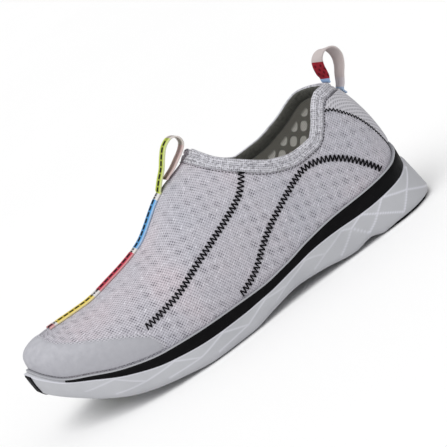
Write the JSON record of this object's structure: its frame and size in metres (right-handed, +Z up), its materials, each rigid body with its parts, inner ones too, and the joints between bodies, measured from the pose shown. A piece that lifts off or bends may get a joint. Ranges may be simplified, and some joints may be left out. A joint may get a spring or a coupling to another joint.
{
  "type": "water shoe",
  "caption": "Left slip-on water shoe: mesh upper with bound collar, toe cap, webbing pull loops, and a cupped foam sole with rubber tread bars and drain recesses.",
  "frame": {"origin": "on the floor, at the centre of the heel's flat spot", "axes": "+X towards the toe, +Y towards the lateral (outer) side, +Z up"},
  "size_m": [0.2954, 0.1038, 0.1249],
  "materials": {
    "eva_foam": "matte",
    "black_rubber": "satin",
    "badge": "matte",
    "mesh_fabric": "woven",
    "cap_film": "matte",
    "collar_fabric": "knitted",
    "footbed": "matte",
    "webbing": "woven"
  },
  "bodies": {
    "root": {"sole": "eva_foam", "rand_stripe": "black_rubber", "forefoot_bars": "black_rubber", "toe_bar_lateral": "black_rubber", "toe_bar_medial": "black_rubber", "heel_pad": "black_rubber", "arch_badge": "badge", "insole": "footbed", "upper": "mesh_fabric", "toe_cap": "cap_film", "heel_tab": "collar_fabric", "collar_binding": "collar_fabric", "vamp_tape": "webbing", "heel_loop": "webbing"}
  },
  "joints": []
}
